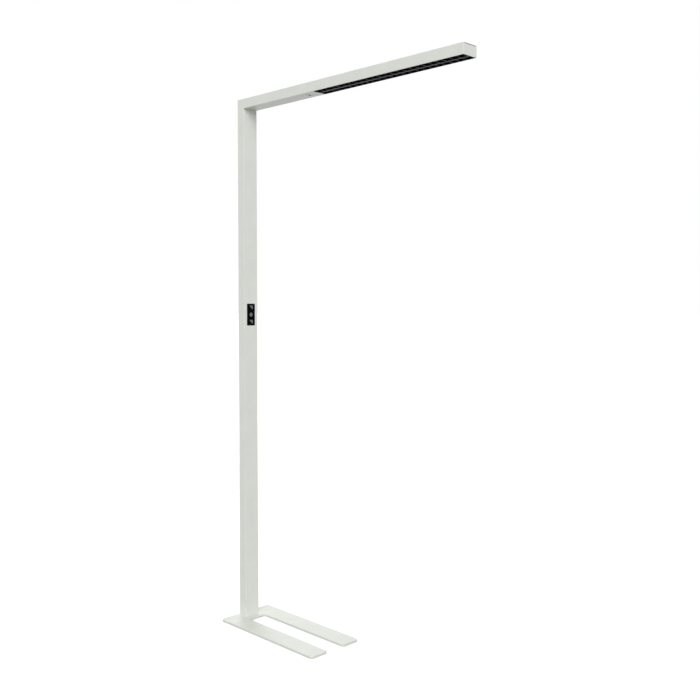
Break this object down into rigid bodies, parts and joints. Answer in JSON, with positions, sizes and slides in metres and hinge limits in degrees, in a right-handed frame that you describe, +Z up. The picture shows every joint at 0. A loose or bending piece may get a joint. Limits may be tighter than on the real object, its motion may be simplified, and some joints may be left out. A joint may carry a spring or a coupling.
{
  "type": "office floor lamp",
  "caption": "Free-standing office floor lamp: fork-shaped base plate, flat post, mitred horizontal arm with black cell louvre below and opal cover above, push-key panel on the post.",
  "frame": {"origin": "on the floor, on the axis of the post", "axes": "+Z up; +X along the arm, from the post to its tip; +Y across"},
  "size_m": [1.0653, 0.224, 1.95],
  "materials": {
    "steel_paint": "fine powder coat, light grey-white",
    "profile_paint": "fine powder coat, light grey-white",
    "strip_rubber": "matt",
    "grommet_rubber": "matt",
    "zinc_steel": "zinc plated",
    "raw_aluminium": "as extruded",
    "louvre_black": "high-gloss black",
    "clear_lens": "clear moulded",
    "led_yellow": "phosphor",
    "white_board": "white solder mask",
    "green_board": "green solder mask",
    "opal_plastic": "opal, satin",
    "driver_case": "satin white",
    "pad_rubber": "soft thermal pad",
    "ring_plastic": "satin",
    "sensor_opal": "milky, satin",
    "panel_black": "fine satin black",
    "key_black": "fine satin black",
    "switch_plastic": "matt",
    "lead_sheath": "grey sheath"
  },
  "bodies": {
    "lamp": {"base_plate": "steel_paint", "anti_slip_strips": "strip_rubber", "base_screws": "zinc_steel", "foot_block": "raw_aluminium", "foot_screws": "zinc_steel", "post_profile": "profile_paint", "cable_grommet": "grommet_rubber", "corner_key": "raw_aluminium", "arm_profile": "profile_paint", "louvre": "louvre_black", "lens_strip": "clear_lens", "downlight_leds": "led_yellow", "downlight_board": "white_board", "led_carrier": "raw_aluminium", "carrier_screws": "zinc_steel", "uplight_board": "white_board", "uplight_leds": "led_yellow", "opal_cover": "opal_plastic", "end_cap": "profile_paint", "led_driver": "driver_case", "driver_pad": "pad_rubber", "sensor_ring": "ring_plastic", "sensor_lens": "sensor_opal", "sensor_board": "green_board", "control_bezel": "panel_black", "control_board": "green_board", "board_screws": "zinc_steel", "tact_switches": "switch_plastic", "lead_connector": "switch_plastic", "control_lead": "lead_sheath"},
    "brighter_key": {"key_brighter": "key_black"},
    "power_key": {"key_power": "key_black"},
    "dimmer_key": {"key_dimmer": "key_black"}
  },
  "joints": [
    {"name": "brighter_press", "type": "slide", "parent": "lamp", "child": "brighter_key", "axis": [-1, 0, 0], "range_m": [0, 0.0008], "stiffness_N_per_m": 400, "springref_m": -0.0006},
    {"name": "power_press", "type": "slide", "parent": "lamp", "child": "power_key", "axis": [-1, 0, 0], "range_m": [0, 0.0008], "stiffness_N_per_m": 400, "springref_m": -0.0006},
    {"name": "dimmer_press", "type": "slide", "parent": "lamp", "child": "dimmer_key", "axis": [-1, 0, 0], "range_m": [0, 0.0008], "stiffness_N_per_m": 400, "springref_m": -0.0006}
  ]
}
